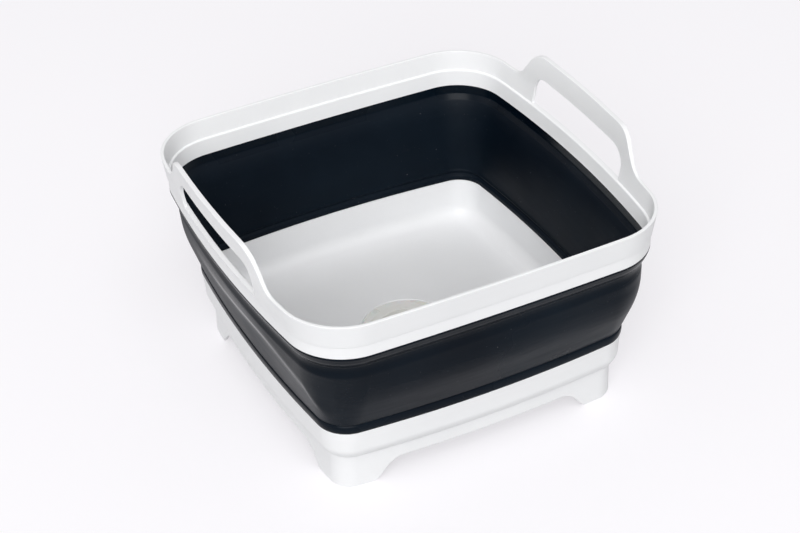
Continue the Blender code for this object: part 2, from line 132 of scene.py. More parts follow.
def draw_section(points, rounded, longest, closed=True):
    """A section drawn as one flat face. rounded gives the size and steps of each corner that is rounded."""
    bm = bmesh.new()
    corners = [bm.verts.new((0, radius, height)) for radius, height in points]
    bm.faces.new(corners)
    for index, (size, steps) in rounded.items():
        bmesh.ops.bevel(
            bm, geom=[corners[index]], offset=size, offset_type="OFFSET", segments=steps,
            profile=0.5, affect="VERTICES", material=-1,
        )
    open_edge = None if closed else bm.edges.get((corners[0], corners[-1]))
    bmesh.ops.delete(bm, geom=list(bm.faces), context="FACES_ONLY")
    if open_edge:
        bmesh.ops.delete(bm, geom=[open_edge], context="EDGES")
    for edge in list(bm.edges):
        cuts = int(edge.calc_length() / longest)
        if cuts:
            bmesh.ops.subdivide_edges(bm, edges=[edge], cuts=cuts)
    return bm


def pull_along(bm, stations):
    """Pulls the section along X through the stations."""
    edges = list(bm.edges)
    here = 0.0
    for there in stations:
        if there > 0.0:
            made = bmesh.ops.extrude_edge_only(bm, edges=edges)["geom"]
            verts = [item for item in made if isinstance(item, bmesh.types.BMVert)]
            fresh = set(verts)
            pulled = [item for item in made if isinstance(item, bmesh.types.BMEdge)]
            edges = [edge for edge in pulled if edge.verts[0] in fresh and edge.verts[1] in fresh]
            bmesh.ops.translate(bm, verts=verts, vec=(there - here, 0, 0))
        here = there


def stations_along(parts, side_marks, corner_steps):
    """Stations for a whole strip. side_marks gives a side's places from its middle, all positive."""
    found = []
    for quarter, on_side, start, length in parts:
        if on_side:
            middle = start + length / 2
            marks = [mark for mark in side_marks[quarter % 2] if mark < length / 2 - END_GAP]
            places = {-mark for mark in marks} | set(marks) | {-length / 2}
            found += sorted(middle + place for place in places)
        else:
            found += [start + length * step / corner_steps for step in range(corner_steps)]
    return found + [parts[-1].start + parts[-1].length]


print("a strip has", len(lay_out(RIM_TOP, RIM_RADIUS)), "parts, sides and corners in turn")

# %% [markdown]
# From the strip to a ring
#
# Once a strip has its shape, it is bent round the core outline so that its ends meet. A Curve modifier
# could bend it too, but it knows one curve only, and here the outline changes with the height. So each
# point is moved by its own side or corner. Edges are rounded after that, when the ring is closed.

# %% Bend the strip and round its edges
WELD = 0.01
SHARP_ANGLE = math.radians(50)


def bend_round(bm, parts):
    """Bends the strip round the core outline, turns it into metres and joins its two ends."""
    for vert in bm.verts:
        along, radius, height = vert.co
        quarter, on_side, start, length = part_at(parts, along)
        share = (along - start) / length
        reach, half, bow = side_of(quarter, height)
        if on_side:
            bend = bow_radius(half, bow)
            turn = math.asin((2 * share - 1) * half / bend)
            out = bend + radius
            spot = Vector((reach + bow - bend + out * math.cos(turn), out * math.sin(turn)))
        else:
            first = end_turn(quarter, height)
            last = math.pi / 2 - end_turn((quarter + 1) % 4, height)
            turn = first + (last - first) * share
            spot = Vector((reach + radius * math.cos(turn), half + radius * math.sin(turn)))
        spot.rotate(Matrix.Rotation(quarter * math.pi / 2, 2))
        vert.co = Vector((spot.x, spot.y, height)) * MM
    bmesh.ops.remove_doubles(bm, verts=bm.verts, dist=WELD * MM)
    bmesh.ops.recalc_face_normals(bm, faces=bm.faces)


def bevel_edges(bm, edges, size, steps):
    """Rounds edges of a mesh that is in metres already, by a size in millimetres."""
    bmesh.ops.bevel(
        bm, geom=edges, offset=size * MM, offset_type="OFFSET", segments=steps,
        profile=0.5, affect="EDGES", material=-1,
    )


def round_edges(bm, size, steps, wanted):
    """Rounds the sharp outward edges that wanted accepts."""
    outward = [edge for edge in bm.edges if len(edge.link_faces) == 2 and edge.is_convex]
    sharp = [edge for edge in outward if edge.calc_face_angle() > SHARP_ANGLE and wanted(edge)]
    bevel_edges(bm, sharp, size, steps)
    return len(sharp)


print("edges sharper than", round(math.degrees(SHARP_ANGLE)), "degrees can be rounded")

# %% [markdown]
# Nodes for a finish
#
# No real surface is one flat colour or one gloss. A photograph of plastic could be wrapped round a piece,
# but noise worked out in the material needs no picture and is sharp at any distance. It reads Object
# coordinates, so the pattern stays on the piece when it moves. These helpers turn noise into a colour, a
# range or a bump.

# %% Helpers for a finish
NOISE_LOW = 0.3
NOISE_HIGH = 0.7


def put(owner, node, values):
    """Sets a node's inputs, each to a number, a colour or another node's output."""
    for name, value in values.items():
        if isinstance(value, bpy.types.NodeSocket):
            owner.node_tree.links.new(value, node.inputs[name])
        else:
            node.inputs[name].default_value = value


def add_node(owner, kind, inputs, **settings):
    """Adds a node to a material or a world, with its settings and inputs."""
    node = owner.node_tree.nodes.new(kind)
    for name, value in settings.items():
        setattr(node, name, value)
    put(owner, node, inputs)
    return node


def new_finish(name):
    """A node material, its shader, and its object coordinates."""
    material = bpy.data.materials.new(name)
    material.use_nodes = True
    shader = material.node_tree.nodes["Principled BSDF"]
    place = add_node(material, "ShaderNodeTexCoord", {}).outputs["Object"]
    return material, shader, place


def cloud(material, place, scale, detail=2.0, stretch=(1.0, 1.0, 1.0)):
    """Soft noise, scale in clouds to the metre."""
    spread = add_node(material, "ShaderNodeMapping", {"Vector": place, "Scale": stretch}).outputs["Vector"]
    inputs = {"Vector": spread, "Scale": scale, "Detail": detail}
    return add_node(material, "ShaderNodeTexNoise", inputs).outputs["Fac"]


def between(material, value, low, high, start=NOISE_LOW, stop=NOISE_HIGH):
    """Turns noise from start to stop into values from low to high."""
    inputs = {"Value": value, "From Min": start, "From Max": stop, "To Min": low, "To Max": high}
    return add_node(material, "ShaderNodeMapRange", inputs).outputs["Result"]


def tint(material, value, dark, light):
    """Turns noise into a colour between two."""
    ramp = add_node(material, "ShaderNodeValToRGB", {"Fac": value})
    ends = ((NOISE_LOW, dark), (NOISE_HIGH, light))
    for stop, (position, colour) in zip(ramp.color_ramp.elements, ends):
        stop.position = position
        stop.color = (*colour, 1.0)
    return ramp.outputs["Color"]


def bump(material, value, depth, normal=None):
    """Height from noise, depth in metres, on top of another bump if there is one."""
    inputs = {"Height": value, "Strength": 1.0, "Distance": depth}
    if normal:
        inputs["Normal"] = normal
    return add_node(material, "ShaderNodeBump", inputs).outputs["Normal"]


print("noise between", NOISE_LOW, "and", NOISE_HIGH, "covers a finish's whole range")

# %% [markdown]
# White plastic
#
# The rim, the base and the plug are moulded polypropylene: a bright, slightly cool white with a satin
# gloss. A plain white shader would do for a far view. Close up, a real moulding has a very fine
# spark-eroded grain, faint clouds where the plastic flowed, and a gloss that changes a little with
# handling, so noise at three sizes gives these. The plug is a slightly warmer white, as it looks in the
# photograph.

# %% The white finishes
def white_plastic(name, dark, light):
    """White moulded plastic, clouded between two whites."""
    material, shader, place = new_finish(name)
    flow = cloud(material, place, scale=14.0)
    handling = cloud(material, place, scale=55.0, detail=4.0)
    grain = cloud(material, place, scale=2600.0, detail=1.0)
    put(material, shader, {
        "Base Color": tint(material, flow, dark, light),
        "Roughness": between(material, handling, low=0.30, high=0.40),
        "Normal": bump(material, grain, depth=0.000012, normal=bump(material, handling, depth=0.00006)),
        "IOR": 1.49,
    })
    return material


white = white_plastic("white_moulded_plastic", dark=(0.845, 0.850, 0.862), light=(0.875, 0.880, 0.890))
warm_white = white_plastic(
    "warm_white_moulded_plastic", dark=(0.80, 0.795, 0.765), light=(0.83, 0.825, 0.795)
)
print("finishes:", white.name, warm_white.name)

# %% [markdown]
# Black silicone
#
# The wall is soft silicone rubber, blue-black, with a satin skin. Being stretched and folded again and
# again leaves faint lines that run level round it, and it picks up specks of dust. A painted picture could
# show these, but here the lines are noise squeezed flat in height, and the dust is the few highest peaks of
# a fine noise. Where the rubber is rubbed it shines more, and the mesh carries that for each point, named
# polish.

# %% The black finish
DUST_COLOUR = (0.16, 0.16, 0.17, 1.0)
RUBBED_SMOOTH = -0.25


def black_silicone():
    """Blue-black rubber with level lines, dust, and a gloss that follows the mesh's polish."""
    material, shader, place = new_finish("black_silicone_rubber")
    haze = cloud(material, place, scale=9.0, detail=3.0)
    lines = cloud(material, place, scale=1.0, detail=3.0, stretch=(6.0, 6.0, 420.0))
    swell = cloud(material, place, scale=1.0, detail=2.0, stretch=(14.0, 14.0, 60.0))
    specks = cloud(material, place, scale=900.0, detail=1.0)
    dust = between(material, specks, low=0.0, high=1.0, start=0.79, stop=0.83)
    rubber = tint(material, haze, dark=(0.0006, 0.0026, 0.0060), light=(0.0030, 0.0072, 0.0130))
    dusty = add_node(material, "ShaderNodeMixRGB", {"Fac": dust, "Color1": rubber, "Color2": DUST_COLOUR})
    polish = add_node(material, "ShaderNodeAttribute", {}, attribute_name="polish").outputs["Fac"]
    satin = between(material, haze, low=0.22, high=0.30)
    rub = {0: polish, 1: RUBBED_SMOOTH, 2: satin}
    rubbed = add_node(material, "ShaderNodeMath", rub, operation="MULTIPLY_ADD")
    put(material, shader, {
        "Base Color": dusty.outputs["Color"],
        "Roughness": rubbed.outputs["Value"],
        "Normal": bump(material, lines, depth=0.00004, normal=bump(material, swell, depth=0.0005)),
        "IOR": 1.41,
        "Specular IOR Level": 0.12,
    })
    return material


black = black_silicone()
print("finish:", black.name)

# %% [markdown]
# Milky silicone
#
# The plug's seal is a clear silicone ring. It could be made of glass-like transmission, but thin clear
# silicone looks milky and a little yellow, and light passes into it rather than through it. So it gets some
# subsurface scattering and a soft gloss.

# %% The milky finish
def milky_silicone():
    """Milky rubber that lets light in."""
    material, shader, place = new_finish("milky_silicone_rubber")
    flow = cloud(material, place, scale=60.0, detail=3.0)
    put(material, shader, {
        "Base Color": tint(material, flow, dark=(0.81, 0.81, 0.785), light=(0.85, 0.85, 0.825)),
        "Roughness": between(material, flow, low=0.25, high=0.36),
        "Normal": bump(material, cloud(material, place, scale=900.0), depth=0.00002),
        "Subsurface Weight": 0.25,
        "Subsurface Scale": 0.002,
    })
    return material


milky = milky_silicone()
print("finish:", milky.name)

# %% [markdown]
# Making a piece
#
# A mesh becomes a piece when it has an object and a finish. Most pieces are then hung on a body to ride on,
# and the CAD node each one takes the place of is hidden. Faces are shaded smooth, with a sharp break only
# where they really meet at an angle. Big flat faces next to small rounded edges would shade unevenly, so the
# normals are weighted by face size. More faces would even the shading too, but the weights cost nothing.

# %% From mesh to piece
SMOOTH_ANGLE = math.radians(38)


def add_object(name, data):
    """A new object in the scene for a mesh, a lamp or a camera."""
    made = bpy.data.objects.new(name, data)
    bpy.context.scene.collection.objects.link(made)
    return made


def make_piece(name, bm, finish, even=True):
    """Turns a mesh in the making into a shaded piece with its finish."""
    mesh = bpy.data.meshes.new(name)
    bm.to_mesh(mesh)
    bm.free()
    mesh.materials.append(finish)
    mesh.shade_smooth()
    mesh.set_sharp_from_angle(angle=SMOOTH_ANGLE)
    piece = add_object(name, mesh)
    if even:
        shading = piece.modifiers.new("Even shading", "WEIGHTED_NORMAL")
        shading.keep_sharp = True
    size = [round(side / MM, 1) for side in piece.dimensions]
    print("piece:", name, size, "mm,", len(mesh.polygons), "faces")
    return piece


# %% [markdown]
# The rim's section
#
# The rim is one white moulding. Its outer face leans out upwards from a fine step, and a plainer band below
# that step reaches down to the silicone. Inside, a narrow ledge runs round at the height of the hand slots,
# and a hidden tongue goes down into the rubber. All of this could be cut into a plain wall afterwards, but
# a section that has it from the start needs no cuts. The wall grows thicker up the handles.

# %% Draw the rim's section
HANDLE_TOP = 200.6
HANDLE_LEAN = 3.6
HANDLE_GROWTH = 1.2
RIM_WALL = 2.7
FACE_LEAN = 3.2
FACE_HEIGHT = 20.2
SEAM = 152.4
SLOT_FOOT = 156.4
SLOT_ROW = 165.6
ARC_ROW = 161.34


def rim_face(height):
    """Radius of the rim's outer face."""
    if height > RIM_TOP:
        return RIM_RADIUS + HANDLE_LEAN * ((height - RIM_TOP) / (HANDLE_TOP - RIM_TOP)) ** 2
    return RIM_RADIUS - FACE_LEAN * (RIM_TOP - height) / FACE_HEIGHT


def rim_skin(height):
    """Thickness of the rim, which grows up the handles."""
    return RIM_WALL + HANDLE_GROWTH * max(height - RIM_TOP, 0.0) / (HANDLE_TOP - RIM_TOP)


def rim_points():
    """Radius and height of each corner, down the outside, round the tongue and up the inside."""
    levels = (RIM_TOP, 168.8, SLOT_ROW, 163.5, ARC_ROW, 158.8, SLOT_FOOT)
    outer = [(rim_face(level), level) for level in levels]
    outer += [(rim_face(SEAM), SEAM), (46.4, 151.8), (46.0, RIM_LOW)]
    tongue = [(44.8, RIM_LOW), (44.8, 137.6), (43.6, 137.6), (43.6, 142.6), (42.4, 142.6)]
    ledge = [(43.36, 156.0)]
    inner = [(rim_face(level) - RIM_WALL, level) for level in reversed(levels)]
    return outer + tongue + ledge + inner


# The numbers of four corners in the list of points
seam_step, band_top, band_foot, ledge_edge = 7, 8, 9, 15
rim_rounds = {seam_step: (0.25, 2), band_top: (0.2, 2), band_foot: (0.4, 3), ledge_edge: (0.8, 4)}
rim = draw_section(rim_points(), rim_rounds, longest=6.0)
print("rim section:", len(rim.verts), "points")

# %% [markdown]
# Handles
#
# Each handle is the rim itself, raised: its top edge climbs in a soft curve from the rim, runs level across
# the grip and comes down again. A handle could be a part of its own that is joined on, but then a line
# would show where they meet. On the strip it is a stretch in height, so the rows above the ledge are lifted
# in proportion. Whatever moves up also leans out with the face, so the handle stays one smooth skin.

# %% Pull the strip and raise the handles
Rise = namedtuple("Rise", "top low top_half low_half shoulder flare")
HANDLE = Rise(top=HANDLE_TOP, low=RIM_TOP, top_half=66.0, low_half=85.8, shoulder=22.0, flare=18.0)
SLOT_HALF = 65.0
SLOT_CORNER = 14.0
GRIP_STEPS = 10
CORNER_STEPS = 7
FOOT_STEPS = 20
FOOT_SPACING = 1.3
END_SPACING = 8.5


def edge_height(rise, across):
    """Height of a raised edge at a distance from its middle: top, shoulder, slope, flare and foot."""
    across = abs(across)
    turn = math.atan2(rise.top - rise.low, rise.low_half - rise.top_half)
    shoulder_start = rise.top_half - rise.shoulder * math.tan(turn / 2)
    flare_end = rise.low_half + rise.flare * math.tan(turn / 2)
    if across <= shoulder_start:
        return rise.top
    if across <= shoulder_start + rise.shoulder * math.sin(turn):
        return rise.top - rise.shoulder + math.sqrt(rise.shoulder ** 2 - (across - shoulder_start) ** 2)
    if across >= flare_end:
        return rise.low
    if across >= flare_end - rise.flare * math.sin(turn):
        return rise.low + rise.flare - math.sqrt(rise.flare ** 2 - (flare_end - across) ** 2)
    return rise.low + (rise.low_half - across) * math.tan(turn)


def lift_to(vert, height):
    """Moves a point of the rim's skin to another height, at the same depth in the skin."""
    depth = (rim_face(vert.co.z) - vert.co.y) / rim_skin(vert.co.z)
    vert.co.y = rim_face(height) - rim_skin(height) * depth
    vert.co.z = height


def from_handle(parts, along):
    """Distance from the middle of a handle, or None off the handle sides."""
    quarter, on_side, start, length = part_at(parts, along)
    return along - start - length / 2 if on_side and quarter % 2 == 0 else None


rim_parts = lay_out(RIM_TOP, RIM_RADIUS)
arc_start = SLOT_HALF - SLOT_CORNER
handle_marks = [arc_start * step / GRIP_STEPS for step in range(GRIP_STEPS + 1)]
handle_marks += [arc_start + SLOT_CORNER * step / CORNER_STEPS for step in range(1, CORNER_STEPS + 1)]
handle_marks += [SLOT_HALF + FOOT_SPACING * step for step in range(1, FOOT_STEPS + 1)] + [96.0, 101.0]
end_marks = [END_SPACING * step for step in range(13)]
pull_along(rim, stations_along(rim_parts, [handle_marks, end_marks], corner_steps=26))
for vert in rim.verts:
    across = from_handle(rim_parts, vert.co.x)
    if across is not None and vert.co.z > SLOT_FOOT:
        stretch = (edge_height(HANDLE, across) - SLOT_FOOT) / (RIM_TOP - SLOT_FOOT)
        lift_to(vert, SLOT_FOOT + (vert.co.z - SLOT_FOOT) * stretch)
print("rim strip:", len(rim.verts), "points, handles", round(HANDLE_TOP - RIM_TOP, 1), "mm above the rim")

# %% [markdown]
# Hand slots
#
# The slot is a long opening with two rounded upper corners, and its lower edge lies level with the ledge
# inside. A Boolean could cut it, but it leaves thin, uneven faces round the hole. Here both skins of the
# strip lose the faces in the slot, the corner points are pulled onto an arc, and a bridge joins the two
# holes, which makes the slot's own walls.

# %% Open the hand slots
SLOT_TOP = 182.4
SLOT_MARGIN = 2
SLACK = 0.01
ROW_SLACK = 0.3


def inside_slot(across, height):
    """Whether a place on the skin lies in a slot. across is None off the handle sides."""
    in_width = across is not None and abs(across) < SLOT_HALF + SLACK
    return in_width and SLOT_FOOT - SLACK < height < SLOT_TOP + ROW_SLACK


def round_slot_corner(vert, across):
    """Pulls a point of the slot's square upper corner onto its arc."""
    centre = Vector((math.copysign(arc_start, across), SLOT_TOP - SLOT_CORNER))
    away = Vector((across, vert.co.z)) - centre
    if away.x * across > SLACK and away.y > SLACK:
        away *= SLOT_CORNER / away.length
        vert.co.x += centre.x + away.x - across
        lift_to(vert, centre.y + away.y)


slot_faces = []
for face in rim.faces:
    middle = face.calc_center_median()
    levels = [vert.co.z for vert in face.verts]
    in_rows = min(levels) > SLOT_FOOT - SLACK and max(levels) < SLOT_TOP + ROW_SLACK
    if in_rows and inside_slot(from_handle(rim_parts, middle.x), middle.z):
        slot_faces.append(face)
bmesh.ops.delete(rim, geom=slot_faces, context="FACES")
rims_of_slots = [
    edge for edge in rim.edges
    if edge.is_boundary
    and all(inside_slot(from_handle(rim_parts, vert.co.x), vert.co.z) for vert in edge.verts)
]
for vert in {vert for edge in rims_of_slots for vert in edge.verts}:
    round_slot_corner(vert, from_handle(rim_parts, vert.co.x))
right_side, left_side = rim_parts[0], rim_parts[4]
for side in (right_side, left_side):
    middle = side.start + side.length / 2
    near = [edge for edge in rims_of_slots if abs(edge.verts[0].co.x - middle) < SLOT_HALF + SLOT_MARGIN]
    bmesh.ops.bridge_loops(rim, edges=near)
print("slots:", len(slot_faces), "faces opened,", len(rims_of_slots), "edges bridged")

# %% [markdown]
# Close the rim
#
# Bent round the plan, the strip's ends meet and it becomes one closed moulding. No moulded edge is knife
# sharp, and the thin bright line along the lip comes from its rounding. A Bevel modifier would round every
# edge alike, so the lip and the slots' edges are picked out here and get a size each.

# %% Bend the rim round and soften its edges
SLOT_ROUNDING = 0.25
LIP_ROUNDING = 0.5
EDGE_MARGIN = 0.6
LIP_DEPTH = 0.1


def on_slot(edge):
    """Whether an edge runs round a hand slot."""
    spot = (edge.verts[0].co + edge.verts[1].co) / 2
    in_width = abs(spot.y) < (SLOT_HALF + SLOT_MARGIN) * MM
    return in_width and (SLOT_FOOT + EDGE_MARGIN) * MM < spot.z < (SLOT_TOP + EDGE_MARGIN) * MM


def on_lip(edge):
    """Whether an edge runs along the rim's top or over a handle."""
    return min(vert.co.z for vert in edge.verts) > (RIM_TOP - LIP_DEPTH) * MM and not on_slot(edge)


bend_round(rim, rim_parts)
softened = round_edges(rim, SLOT_ROUNDING, 2, on_slot) + round_edges(rim, LIP_ROUNDING, 3, on_lip)
print("rim: softened", softened, "edges")
rim_piece = make_piece("rim_and_handles", rim, white)
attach(rim_piece, "rim")
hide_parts("rim_frame")

# %% [markdown]
# The folding wall
#
# The wall is one silicone moulding. Below the rim it has a short neck that slants in to a shallow groove,
# then a long panel that swells a little as it goes down to a thin crease, and a rounded bead that grips the
# base. Its ends wrap round the hidden tongues of rim and base. It could be sculpted, but a section pulled
# along keeps neck, crease and bead equally sharp all the way round.

# %% Draw the wall's section
wall_points = [
    (46.0, 141.3), (46.0, 140.2), (43.6, 134.4), (39.6, 129.4), (39.0, 125.0), (39.9, 120.4),
    (25.9, 65.4), (25.3, 64.6), (26.2, 63.9), (26.3, 61.2), (25.9, 58.2), (25.4, 57.3),
    (24.8, 57.3), (24.8, 63.1), (23.0, 63.1), (23.0, 61.3),
    (22.1, 61.3), (22.1, 64.6), (22.9, 65.8), (24.6, 66.8), (24.6, 67.8), (24.0, 69.3), (24.9, 70.6),
    (35.8, 124.6), (42.4, 135.0),
    (42.4, 142.3), (43.4, 142.3), (43.4, 137.4), (44.9, 137.4), (44.9, 141.3),
]
lip_rounds = {0: (0.2, 2), 1: (0.6, 3), 2: (1.4, 4), 3: (0.8, 3), 4: (1.4, 4), 5: (1.6, 5)}
bead_rounds = {6: (0.6, 3), 7: (0.3, 2), 8: (0.6, 4), 9: (1.2, 3), 10: (0.8, 3)}
inner_rounds = {16: (0.2, 2), 17: (0.6, 3), 18: (0.4, 3), 19: (0.3, 3), 21: (0.4, 3), 22: (0.8, 3)}
fold_rounds = {23: (6.0, 8), 24: (0.5, 3)}
wall_rounds = lip_rounds | bead_rounds | inner_rounds | fold_rounds
wall = draw_section(wall_points, wall_rounds, longest=1.6)
print("wall section:", len(wall.verts), "points")

# %% [markdown]
# The panel's swell
#
# Soft rubber isn't even. In the photograph the front left corner stays flat, and the left panel swells less
# than the others and has a soft ridge high up that runs down to that corner. One even bulge would miss
# this, and a cage of points is hard to steer. So the swell, the ridge and the shine are read off short
# lists of marks, with soft steps between them.

# %% How far the panel stands out and how it shines
# A mark's place runs round the wall: 0 to 1 is the right side, 1 to 2 the back right corner, 2 to 3 the
# back, and so on, up to 7 to 8 for the front right corner. Its value is in millimetres, or a share.
SWELL = [
    (0.0, 3.5), (2.0, 3.8), (3.0, 3.4), (4.4, 1.7), (5.2, 1.9),
    (5.5, 0.4), (5.7, 0.3), (6.18, 3.8), (8.0, 3.5),
]
RIDGE = [(4.0, 0.0), (4.5, 1.0), (5.4, 1.0), (5.7, 0.0), (8.0, 0.0)]
RIDGE_DEPTH = [(4.0, 0.22), (4.5, 0.22), (4.75, 0.16), (5.4, 0.75), (8.0, 0.75)]
POLISH = [
    (0.0, -0.6), (1.0, -0.6), (4.0, -0.8), (4.6, -0.3), (5.1, 0.1), (6.9, 0.0), (7.4, -0.5), (8.0, -0.6),
]
EVEN_DEPTH = 0.41
EVEN_ROUNDING = 0.9
RIDGE_ROUNDING = 0.16
SHINE_ABOVE = 0.14
SHINE_BELOW = 0.08
DULL_BELOW = 0.4
DULL_REACH = 0.3


def ease(share):
    """Goes from 0 to 1 with a soft start and end."""
    share = min(max(share, 0.0), 1.0)
    return share * share * (3 - 2 * share)


def along_marks(marks, place):
    """Reads a value off a list of (place, value) marks, with soft steps between them."""
    for (start, low), (end, high) in zip(marks, marks[1:]):
        if place <= end:
            return low + (high - low) * ease((place - start) / (end - start))
    return marks[-1][1]


def peak(share, depth, rounding):
    """Rises from 0 to 1 at the depth and falls to 0 again, with a rounded top."""
    rising, falling = share / depth, (1 - share) / (1 - depth)
    mixed = min(max(0.5 + (falling - rising) / (2 * rounding), 0.0), 1.0)
    rounded = falling + (rising - falling) * mixed - rounding * mixed * (1 - mixed)
    return rounded / (1 - rounding / 4)


def polish_at(turn, share):
    """1 where the ridge is rubbed shiny, and below 0 where the panel is dull."""
    below = share - along_marks(RIDGE_DEPTH, turn)
    width = SHINE_ABOVE if below < 0 else SHINE_BELOW
    ridge = math.exp(-((below / width) ** 2)) - DULL_BELOW * ease(below / DULL_REACH)
    return along_marks(POLISH, turn) + along_marks(RIDGE, turn) * ridge


def swell_at(turn, share):
    """How far the panel stands out: an even swell, or on the left a ridge with two flatter faces."""
    even = peak(share, EVEN_DEPTH, EVEN_ROUNDING)
    ridge = peak(share, along_marks(RIDGE_DEPTH, turn), RIDGE_ROUNDING)
    return along_marks(SWELL, turn) * (even + (ridge - even) * along_marks(RIDGE, turn))


print("the panel swells up to", round(max(value for _, value in SWELL), 1), "mm")

# %% [markdown]
# Swell and bend the wall
#
# On the strip the panel is flat. Each of its outer points is pushed out by an amount that is nothing at the
# fold and the crease and most in between, and the inner face sags in a little. A Displace modifier could do
# it with a texture, but here the outer and the inner face move by different rules. When the wall is bent
# round, slow noise stirs its whole surface, because rubber is never quite true.

# %% Pull, swell and bend the wall
FOLD_HEIGHT = 121.6
CREASE_HEIGHT = 65.4
WALL_RADIUS = 40.0
WALL_SPACING = 5.0
MIDDLE_RADIUS = 37.6
MIDDLE_LEAN = 12.4
INNER_SAG = 1.0
INNER_POLISH = -1.0
STIRS = ((14.0, 0.8), (34.0, 0.25))


def turn_of(parts, along):
    """Where a point is round the wall, as the marks count it."""
    part = part_at(parts, along)
    return parts.index(part) + (along - part.start) / part.length


def hump(share):
    """0 at both ends and 1 in the middle."""
    return 4 * share * (1 - share)


wall_parts = lay_out(RIM_LOW, WALL_RADIUS)
wall_marks = [WALL_SPACING * step for step in range(21)]
pull_along(wall, stations_along(wall_parts, [wall_marks, wall_marks], corner_steps=30))
polish = wall.verts.layers.float.new("polish")
for vert in wall.verts:
    share = (FOLD_HEIGHT - vert.co.z) / (FOLD_HEIGHT - CREASE_HEIGHT)
    on_panel = 0.0 < share < 1.0
    inside = vert.co.y < MIDDLE_RADIUS - MIDDLE_LEAN * share
    if inside:
        vert[polish] = INNER_POLISH
    if inside and on_panel:
        vert.co.y -= INNER_SAG * hump(share)
    elif on_panel:
        turn = turn_of(wall_parts, vert.co.x)
        vert.co.y += swell_at(turn, share)
        vert[polish] = polish_at(turn, share)
bend_round(wall, wall_parts)
for vert in wall.verts:
    share = (FOLD_HEIGHT - vert.co.z / MM) / (FOLD_HEIGHT - CREASE_HEIGHT)
    if 0.0 < share < 1.0:
        away = Vector((vert.co.x, vert.co.y, 0)).normalized()
        stir = sum(noise.noise(vert.co * scale) * depth for scale, depth in STIRS)
        vert.co += away * stir * MM * ease(hump(share))
wall_piece = make_piece("folding_wall", wall, black, even=False)
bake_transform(wall_piece)
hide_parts("silicone_wall")

# %% [markdown]
# The base tray
#
# The base is a shallow white basin in one piece with its stand. The outer band curls in at its lower edge
# and stops at a step, and a skirt goes down from there to four corner feet, with a wide flat arch between
# each two. Inside, the wall meets the floor in a soft fillet. Basin and stand could be two shells, but the
# real one is a single moulding, and one section gives both. It is open at the floor, because the round
# drain comes later.

# %% Draw the base's section and raise its arches
FLOOR_TOP = 27.0
FLOOR_UNDER = 24.4
ARCH_PIVOT = 24.0
ARCH = Rise(top=17.5, low=0.0, top_half=75.5, low_half=89.5, shoulder=18.0, flare=6.0)
SKIRT_RADIUS = 17.6
SKIRT_INSIDE = 15.2
tray_points = [
    (4.0, FLOOR_TOP), (8.3, FLOOR_TOP), (20.8, FLOOR_TOP), (22.0, 61.0), (23.3, 61.0), (23.3, 62.8),
    (24.5, 62.8), (24.5, BASE_TOP), (25.4, BASE_TOP), (24.2, 42.5), (24.2, 33.4),
    (SKIRT_RADIUS, 28.9), (SKIRT_RADIUS, ARCH_PIVOT), (SKIRT_RADIUS, 0.0),
    (SKIRT_INSIDE, 0.0), (SKIRT_INSIDE, ARCH_PIVOT), (SKIRT_INSIDE, FLOOR_UNDER), (4.0, FLOOR_UNDER),
]
tray_rounds = {2: (11.0, 8), 3: (0.3, 2), 8: (0.5, 3), 10: (7.4, 8), 11: (0.5, 3)}
tray = draw_section(tray_points, tray_rounds, longest=9.0, closed=False)

tray_parts = lay_out(0.0, SKIRT_RADIUS)
level_marks = [11.0 * step for step in range(7)]
shoulder_marks = [66.8 + 1.8 * step for step in range(8)]
foot_marks = [82.6, 84.6, 86.4, 87.7, 88.6, 89.6, 90.6, 91.5, 92.4, 94.5, 98.0, 101.0]
arch_marks = level_marks + shoulder_marks + foot_marks
pull_along(tray, stations_along(tray_parts, [arch_marks, arch_marks], corner_steps=22))
for vert in tray.verts:
    quarter, on_side, start, length = part_at(tray_parts, vert.co.x)
    if on_side and vert.co.z < ARCH_PIVOT:
        lowest = edge_height(ARCH, vert.co.x - start - length / 2)
        vert.co.z = ARCH_PIVOT - (ARCH_PIVOT - vert.co.z) * (ARCH_PIVOT - lowest) / ARCH_PIVOT
bend_round(tray, tray_parts)
print("tray strip:", len(tray.verts), "points")

# %% [markdown]
# The drain
#
# In the middle of the floor a fine raised bead frames a shallow round seat, and the hole goes down through
# a short boss. It could be cut out of the floor, but round things are best turned: a half section is spun
# once round the upright axis, and its two outer edges are then bridged to the floor and to its underside.

# %% Turn the drain and join it to the floor
HOLE_RADIUS = 25.1
SEAT_RADIUS = 37.2
SEAT_HEIGHT = 26.0
BEAD_HEIGHT = 28.3
BOSS_RADIUS = 28.3
BOSS_LOW = 18.4
ROUND_STEPS = 120
UNDIVIDED = 1000.0
LEVEL_SLACK = 0.05
STAND_ROUNDING = 0.6
STAND_REACH = 60


def join(bm, other):
    """Adds one mesh in the making to another."""
    passing = bpy.data.meshes.new("passing")
    other.to_mesh(passing)
    other.free()
    bm.from_mesh(passing)
    bpy.data.meshes.remove(passing)


def spin_section(points, rounded, closed=True):
    """Spins a half section, given as radius and height, once round the upright axis."""
    bm = draw_section(points, rounded, UNDIVIDED, closed)
    bmesh.ops.scale(bm, vec=(MM, MM, MM), verts=bm.verts)
    bmesh.ops.spin(
        bm, geom=list(bm.verts) + list(bm.edges), cent=(0, 0, 0), axis=(0, 0, 1),
        angle=2 * math.pi, steps=ROUND_STEPS, use_merge=True,
    )
    bmesh.ops.recalc_face_normals(bm, faces=bm.faces)
    return bm


def on_stand(edge):
    """Whether an edge belongs to the skirt's lower rim, with its feet and arches."""
    low = max(vert.co.z for vert in edge.verts) < (ARCH_PIVOT - 0.1) * MM
    return low and max(abs(edge.verts[0].co.x), abs(edge.verts[0].co.y)) > STAND_REACH * MM


